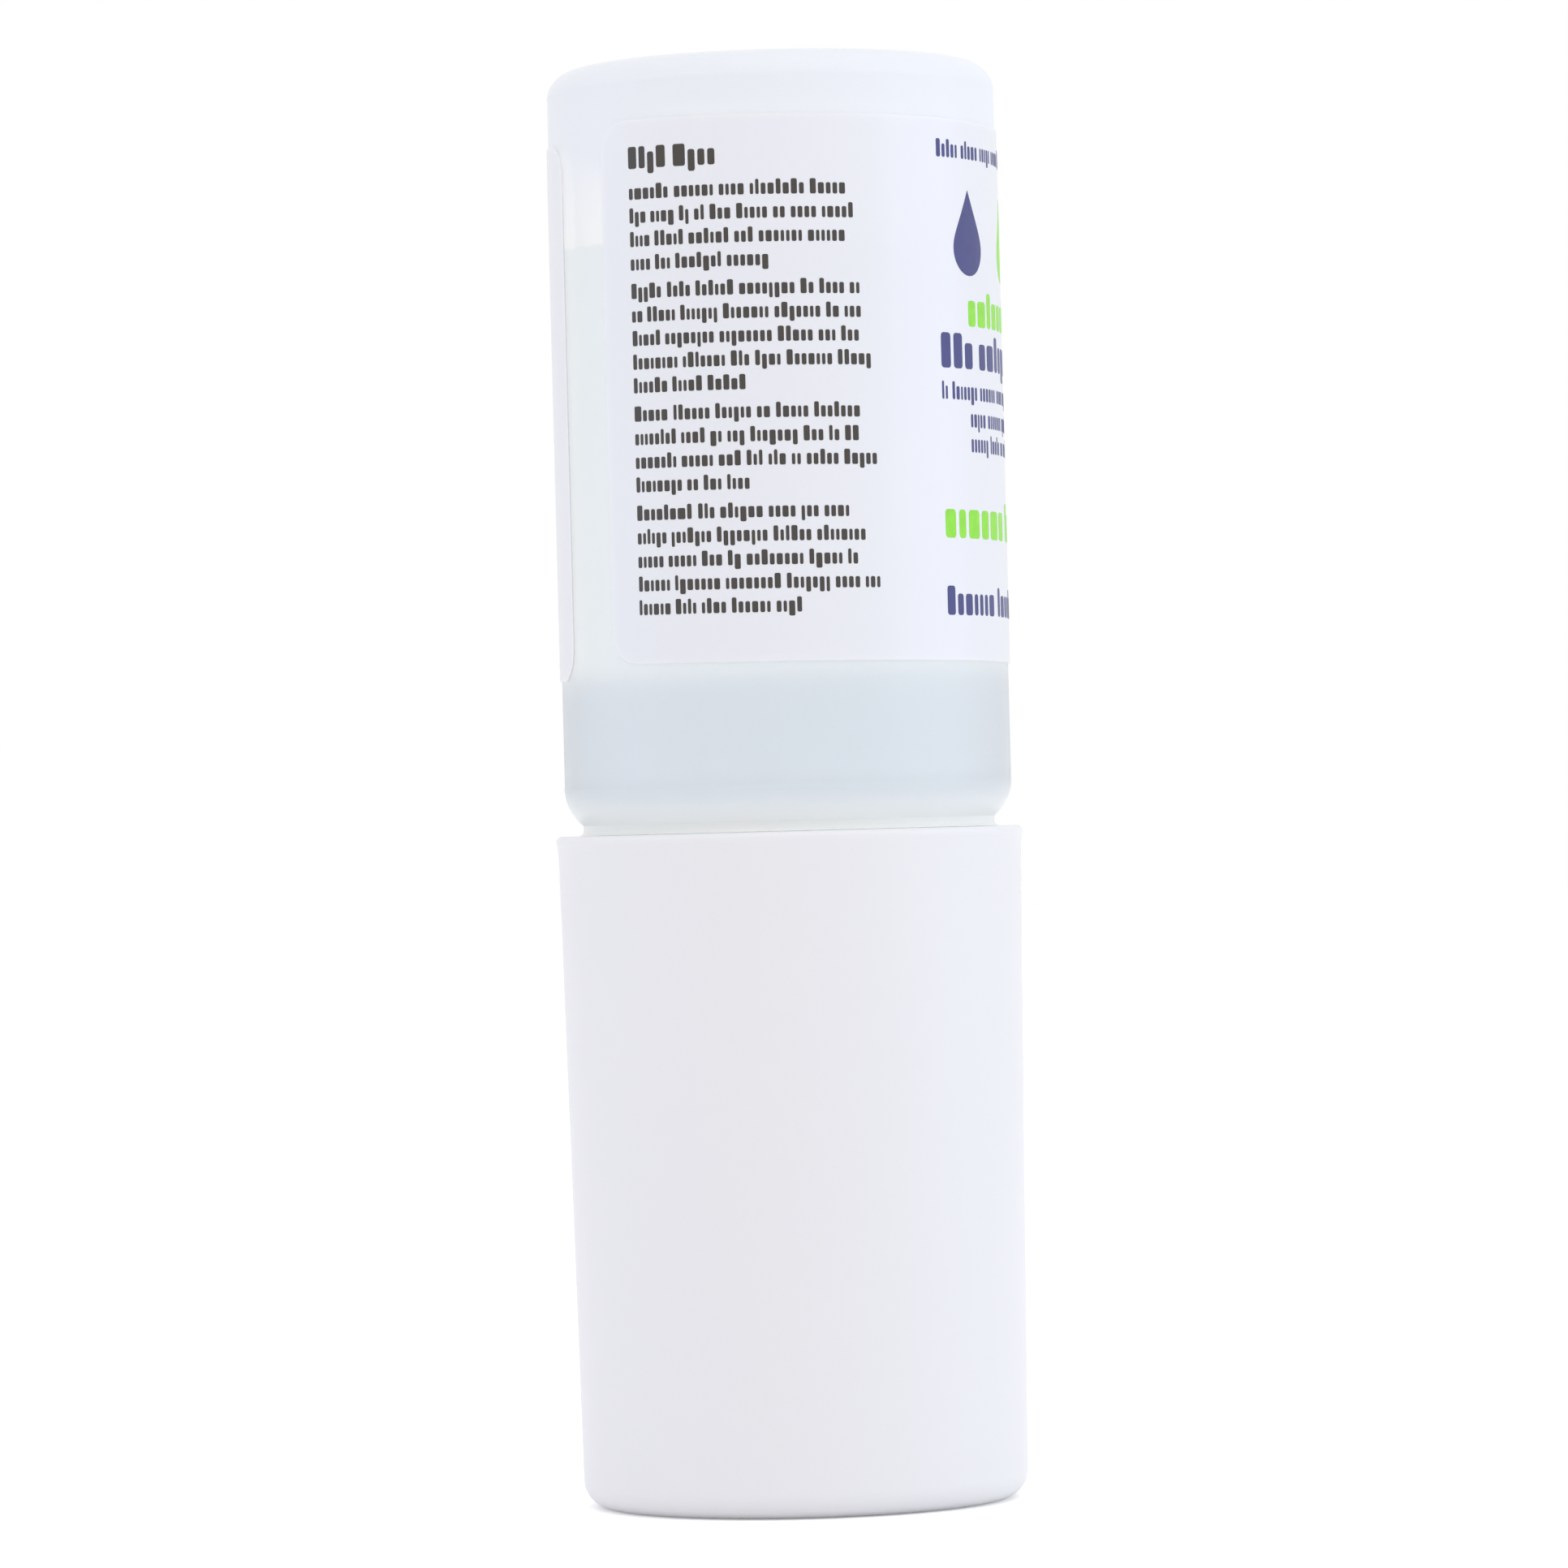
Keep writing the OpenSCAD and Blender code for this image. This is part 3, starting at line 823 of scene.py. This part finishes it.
def spread(tree, share, start, end):
    """Turns a share from 0 to 1 into a value from start to end."""
    node = tree.nodes.new("ShaderNodeMapRange")
    node.inputs["To Min"].default_value = start
    node.inputs["To Max"].default_value = end
    tree.links.new(share, node.inputs["Value"])
    return node.outputs["Result"]


def vary(tree, shader, scale, low, high):
    """Lets the colour drift between two close tones."""
    tree.links.new(blend_by(tree, noise(tree, scale), low, high), shader.inputs["Base Color"])


def rough(tree, shader, scale, low, high):
    """Lets the gloss drift between two values."""
    tree.links.new(spread(tree, noise(tree, scale), low, high), shader.inputs["Roughness"])


def bump(tree, shader, scale, relief):
    """Fine relief of a moulded surface, with its height in metres."""
    node = tree.nodes.new("ShaderNodeBump")
    node.inputs["Strength"].default_value = 1
    node.inputs["Distance"].default_value = relief
    tree.links.new(noise(tree, scale, 2), node.inputs["Height"])
    tree.links.new(node.outputs["Normal"], shader.inputs["Normal"])


def mix_shaders(tree, share, first, second):
    """A shader between two, by a share from 0 to 1."""
    mix = tree.nodes.new("ShaderNodeMixShader")
    tree.links.new(share, mix.inputs["Fac"])
    tree.links.new(first, mix.inputs[1])
    tree.links.new(second, mix.inputs[2])
    return mix.outputs[0]


def glow(tree, shader, color, inside, outside):
    """Mixes in light that scatters on through a thin wall, by one share from inside and one from outside."""
    geometry = tree.nodes.new("ShaderNodeNewGeometry")
    share = spread(tree, geometry.outputs["Backfacing"], outside, inside)
    through = tree.nodes.new("ShaderNodeBsdfTranslucent")
    through.inputs["Color"].default_value = (*color, 1)
    mixed = mix_shaders(tree, share, shader.outputs[0], through.outputs[0])
    tree.links.new(mixed, tree.nodes["Material Output"].inputs["Surface"])


# Materials

# Grain of a mould, and its relief in metres
MOULD_GRAIN = 2600
MOULD_RELIEF = 0.000004

# Heights between which the wall turns clear along the shoulder's curve, where it also loses the painted light
# that lightens the shoulder against the shade by the cap's rim, and milky again round the liquid's surface,
# and the shares of light that a clear and a milky wall let through
CLEAR_FROM = SHOULDER_Z - 2.6
CLEAR_TO = SHOULDER_Z - 0.2
DRY_FROM = LIQUID_TOP_Z - 1.5
DRY_TO = LIQUID_TOP_Z + 5.5
THROUGH_CLEAR = 0.55
THROUGH_MILKY = 0.12


def cap_material():
    """Satin white plastic that lets light in a little way."""
    material, tree, shader = principled("cap_plastic", (0.80, 0.80, 0.83), 0.42, Subsurface_Weight=0.25)
    shader.inputs["Subsurface Radius"].default_value = (1, 1, 1)
    shader.inputs["Subsurface Scale"].default_value = 0.0012
    vary(tree, shader, 70, (0.795, 0.795, 0.82), (0.812, 0.812, 0.83))
    rough(tree, shader, 400, 0.36, 0.48)
    bump(tree, shader, MOULD_GRAIN, MOULD_RELIEF)
    return material


def inner_cap_material():
    """Whiter plastic than the cap's, and a little glossier."""
    material, tree, shader = principled(
        "inner_cap_plastic", (0.84, 0.84, 0.85), 0.38, Subsurface_Weight=0.2
    )
    shader.inputs["Subsurface Scale"].default_value = 0.001
    vary(tree, shader, 200, (0.82, 0.82, 0.835), (0.86, 0.86, 0.865))
    bump(tree, shader, MOULD_GRAIN, MOULD_RELIEF)
    return material


def bottle_material():
    """Natural polyethylene: half of the light goes through, blurred, and half scatters back.

    The moulding is thick and milky at the shoulder and the neck, which whitens it there; its colour at the
    shoulder is lighter still, painted light against the shade next to the cap's rim. The liquid wets the
    inside and darkens the wall, which is milkier above it. A share of what is seen from inside glows."""
    material, tree, shader = principled(
        "natural_polyethylene", (0.95, 0.965, 1), 0.3, IOR=1.38, Specular_IOR_Level=0.2
    )
    z = axis_height(tree)
    at_shoulder = ramp(tree, z, CLEAR_FROM * MM, CLEAR_TO * MM, 1, 0)
    dry = ramp(tree, z, DRY_FROM * MM, DRY_TO * MM)
    wall = blend_by(tree, noise(tree, 90), (0.905, 0.94, 0.97), (0.92, 0.95, 0.975))
    wall = blend_by(tree, dry, wall, (0.88, 0.90, 0.94))
    # Painted light: the shoulder's colour is lighter and creamier against the shade next to the cap's rim, on
    # top of the whiter thick milky moulding there
    wall = blend_by(tree, at_shoulder, wall, (0.98, 0.995, 0.975))
    tree.links.new(wall, shader.inputs["Base Color"])
    milky = calc(tree, "ADD", at_shoulder, dry)
    less = calc(tree, "MULTIPLY", milky, THROUGH_MILKY - THROUGH_CLEAR)
    tree.links.new(calc(tree, "ADD", less, THROUGH_CLEAR), shader.inputs["Transmission Weight"])
    rough(tree, shader, 100, 0.285, 0.32)
    glow(tree, shader, (0.96, 0.98, 1), 0.18, 0)
    return material


def clear_material(name, low, high, scale, ior):
    """A clear face with almost no colour, whose roughness drifts from low to high."""
    material, tree, shader = principled(
        name, (0.99, 1, 1), (low + high) / 2, Transmission_Weight=1.0, IOR=ior
    )
    rough(tree, shader, scale, low, high)
    return material


def lining_material():
    """The inner face of the bottle's wall, which is clear: the milkiness is on the outer face."""
    return clear_material("polyethylene_lining", 0.1, 0.14, 300, 1.38)


def wet_face_material():
    """The outer face where the label is stuck down: the adhesive wets it and takes its haze away."""
    return clear_material("polyethylene_under_label", 0.04, 0.08, 200, 1.02)


def adhesive_material():
    """Clear adhesive on the back of the film."""
    return clear_material("label_adhesive", 0.12, 0.2, 200, 1.02)


def tip_material():
    """Natural polyethylene in a thick moulding, milky throughout."""
    material, tree, shader = principled(
        "tip_polyethylene", (0.91, 0.92, 0.92), 0.35, Transmission_Weight=0.25, Subsurface_Weight=0.4
    )
    shader.inputs["Subsurface Scale"].default_value = 0.0015
    vary(tree, shader, 300, (0.90, 0.915, 0.915), (0.92, 0.93, 0.925))
    bump(tree, shader, MOULD_GRAIN, MOULD_RELIEF)
    return material


def liquid_material():
    """Clear liquid, whose faint blue grows with the depth that is looked through."""
    material, tree, shader = principled(
        "eye_drops", (0.985, 0.99, 0.995), 0.02, Transmission_Weight=1.0, IOR=1.335
    )
    depth = tree.nodes.new("ShaderNodeVolumeAbsorption")
    depth.inputs["Color"].default_value = (0.4, 0.6, 0.77, 1)
    depth.inputs["Density"].default_value = 20
    tree.links.new(depth.outputs["Volume"], tree.nodes["Material Output"].inputs["Volume"])
    vary(tree, shader, 40, (0.98, 0.988, 0.993), (0.99, 0.994, 0.997))
    return material


def label_material():
    """White film, thin enough to glow when it is seen from inside the bottle."""
    material, tree, shader = principled(
        "label_film", (0.9, 0.905, 0.94), 0.3, Coat_Weight=0.3, Coat_Roughness=0.2
    )
    vary(tree, shader, 60, (0.86, 0.87, 0.92), (0.88, 0.89, 0.94))
    rough(tree, shader, 250, 0.27, 0.36)
    bump(tree, shader, 900, 0.000008)
    glow(tree, shader, (0.87, 0.82, 0.75), 1, 0.1)
    return material


def ink_material(name, color):
    """Ink whose tone drifts a little from block to block."""
    material, tree, shader = principled(name, color, 0.4)
    vary(tree, shader, 1500, tuple(c * 0.85 for c in color), tuple(c * 1.15 for c in color))
    return material


# The pieces, their materials and their bodies

def dress(piece, material, body, slot, *nodes):
    """Gives a piece its material and its body, and hides the nodes that it stands for. slot is not used."""
    piece.data.materials.append(material)
    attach(piece, body)
    if nodes:
        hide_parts(*nodes)


def build_cap():
    """The tall shell with what stands in it, and the inner cap."""
    white = cap_material()
    dress(make_cap(), white, "cap", "cap_white", "cap_shell")
    dress(make_ribs(), white, "cap", "cap_white")
    dress(make_post(), white, "cap", "cap_white")
    dress(make_inner_cap(), inner_cap_material(), "cap", "inner_cap_white", "inner_cap")


def build_bottle():
    """The liquid, the bottle with its three kinds of face, and the dropper tip."""
    dress(make_liquid(), liquid_material(), "contents", "eye_drops", "liquid")
    bottle = make_bottle()
    dress(bottle, bottle_material(), "bottle", "bottle_natural", "bottle")
    bottle.data.materials.append(lining_material())
    bottle.data.materials.append(wet_face_material())
    dress(make_tip(), tip_material(), "bottle", "tip_natural", "dropper_tip")


def build_label():
    """The film with adhesive on its back, and the print in three inks."""
    label = make_label()
    dress(label, label_material(), "bottle", "label_film", "label")
    label.data.materials.append(adhesive_material())
    front_navy, front_green = make_front()
    navy = ink_material("navy_ink", (0.042, 0.045, 0.19))
    grey = ink_material("grey_ink", (0.045, 0.038, 0.032))
    green = ink_material("green_ink", (0.26, 0.72, 0.03))
    dress(make_small_print(), grey, "bottle", "label_film")
    dress(front_navy, navy, "bottle", "label_film")
    dress(front_green, green, "bottle", "label_film")


build_cap()
build_bottle()
build_label()


# Floor, light and background

# Sizes in metres. The floor lies a hair below the object, and its shine doesn't light the object.
WORLD_COLOR = (1, 0.985, 0.99)
WORLD_LIGHT = 0.875
FLOOR_SIDE = 6
FLOOR_Z = -0.00002
FLOOR_SHINE = 0.3
WHITE = (1, 1, 1)
AIM = Vector((0, 0, 0.045))


def seen_share(tree):
    """1 for what the camera, a reflection or a clear piece sees, and 0 for what lights the object."""
    path = tree.nodes.new("ShaderNodeLightPath")
    share = path.outputs["Is Camera Ray"]
    for ray in ("Is Glossy Ray", "Is Transmission Ray"):
        share = calc(tree, "MAXIMUM", share, path.outputs[ray])
    return share


def shine(tree, kind, color, strength):
    """The output of a new Emission or Background node."""
    node = tree.nodes.new(kind)
    node.inputs["Color"].default_value = (*color, 1)
    node.inputs["Strength"].default_value = strength
    return node.outputs[0]


def make_world():
    """Plain light from all round, and a background that looks white."""
    world = bpy.data.worlds.new("studio")
    bpy.context.scene.world = world
    world.use_nodes = True
    tree = world.node_tree
    tree.nodes.clear()
    unseen = shine(tree, "ShaderNodeBackground", WORLD_COLOR, WORLD_LIGHT)
    seen = shine(tree, "ShaderNodeBackground", WHITE, 1)
    output = tree.nodes.new("ShaderNodeOutputWorld")
    tree.links.new(mix_shaders(tree, seen_share(tree), unseen, seen), output.inputs["Surface"])


def make_floor():
    """Pale floor that looks white and keeps a faint shadow under the object."""
    bpy.ops.mesh.primitive_plane_add(size=FLOOR_SIDE, location=(0, 0, FLOOR_Z))
    floor = bpy.context.object
    floor.name = "floor"
    material, tree, shader = principled("floor_white", (0.92, 0.92, 0.92), 0.8)
    vary(tree, shader, 3, (0.91, 0.91, 0.91), (0.93, 0.93, 0.93))
    unseen = shine(tree, "ShaderNodeEmission", WHITE, 0)
    seen = shine(tree, "ShaderNodeEmission", WHITE, FLOOR_SHINE)
    both = tree.nodes.new("ShaderNodeAddShader")
    tree.links.new(shader.outputs[0], both.inputs[0])
    tree.links.new(mix_shaders(tree, seen_share(tree), unseen, seen), both.inputs[1])
    tree.links.new(both.outputs[0], tree.nodes["Material Output"].inputs["Surface"])
    floor.data.materials.append(material)


def make_softbox(name, azimuth, distance, height, width, tall, radiance, color, mirrored=True):
    """Soft box at an azimuth in degrees from the camera's side towards the right, facing the object.

    Its sizes are in metres, and a radiance of 1 is white. The camera doesn't see it, and gloss and clear
    pieces show it only if it is mirrored."""
    data = bpy.data.lights.new(name, "AREA")
    data.shape = "RECTANGLE"
    data.size = width
    data.size_y = tall
    data.energy = radiance * math.pi * width * tall
    data.color = color
    lamp = bpy.data.objects.new(name, data)
    bpy.context.scene.collection.objects.link(lamp)
    turn = math.radians(azimuth)
    spot = Vector((distance * math.sin(turn), -distance * math.cos(turn), height))
    lamp.location = spot
    lamp.rotation_euler = (AIM - spot).to_track_quat("-Z", "Y").to_euler()
    lamp.visible_camera = False
    lamp.visible_glossy = mirrored
    lamp.visible_transmission = mirrored


make_world()
make_floor()
make_softbox(
    "right_box", azimuth=82, distance=0.6, height=0.15, width=0.55, tall=0.6,
    radiance=0.85, color=(0.59, 0.76, 1),
)
make_softbox(
    "left_box", azimuth=-88, distance=0.7, height=0.15, width=0.5, tall=0.6,
    radiance=0.52, color=(0.45, 0.65, 1),
)
make_softbox(
    "top_box", azimuth=10, distance=0.4, height=0.75, width=0.7, tall=0.7,
    radiance=0.74, color=(0.97, 0.98, 1),
)
make_softbox(
    "back_box", azimuth=180, distance=0.6, height=0.1, width=0.6, tall=0.6,
    radiance=0.6, color=(1, 1, 1), mirrored=False,
)

bpy.context.scene.view_settings.view_transform = "Standard"
